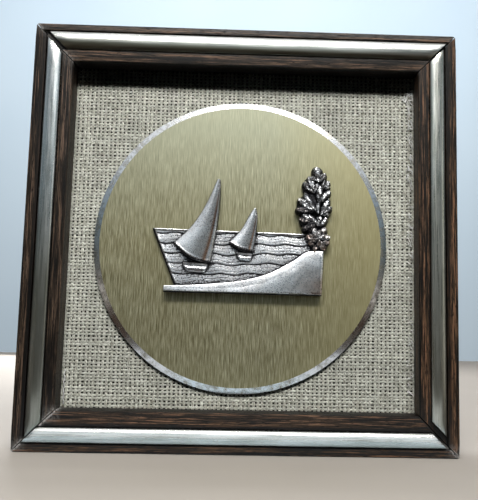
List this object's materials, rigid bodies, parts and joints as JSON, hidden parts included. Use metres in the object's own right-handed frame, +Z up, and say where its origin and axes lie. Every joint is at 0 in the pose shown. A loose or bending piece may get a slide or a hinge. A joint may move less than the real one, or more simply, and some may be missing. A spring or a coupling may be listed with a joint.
{
  "type": "framed relief panel",
  "caption": "Small square wooden frame with rounded metal strips, holding a cast silver sailing scene on a brushed gold disc over burlap.",
  "frame": {"origin": "middle of the flat back face of the frame's top rail, where it meets the wall", "axes": "+Z up, +Y into the wall, so the front faces -Y and +X is to a viewer's right"},
  "size_m": [0.145, 0.0181, 0.143],
  "materials": {
    "dark_wood": "dark brown open-grained wood, waxed",
    "champagne_metal": "worn champagne-silver metal strip",
    "beige_burlap": "open plain-weave burlap",
    "hardboard": "bare brown hardboard",
    "gold_aluminium": "gold anodised and brushed upright, with a bright bare cut bevel",
    "antique_silver": "cast antique silver with dark recesses",
    "plain_steel": "plain zinc-plated steel"
  },
  "bodies": {
    "root": {"rail_top": "dark_wood", "rail_right": "dark_wood", "rail_bottom": "dark_wood", "rail_left": "dark_wood", "strip_top": "champagne_metal", "strip_right": "champagne_metal", "strip_bottom": "champagne_metal", "strip_left": "champagne_metal", "burlap_panel": "beige_burlap", "backing_board": "hardboard", "disc": "gold_aluminium", "relief": "antique_silver", "sawtooth_hanger": "plain_steel", "hanger_pin_left": "plain_steel", "hanger_pin_right": "plain_steel"}
  },
  "joints": []
}
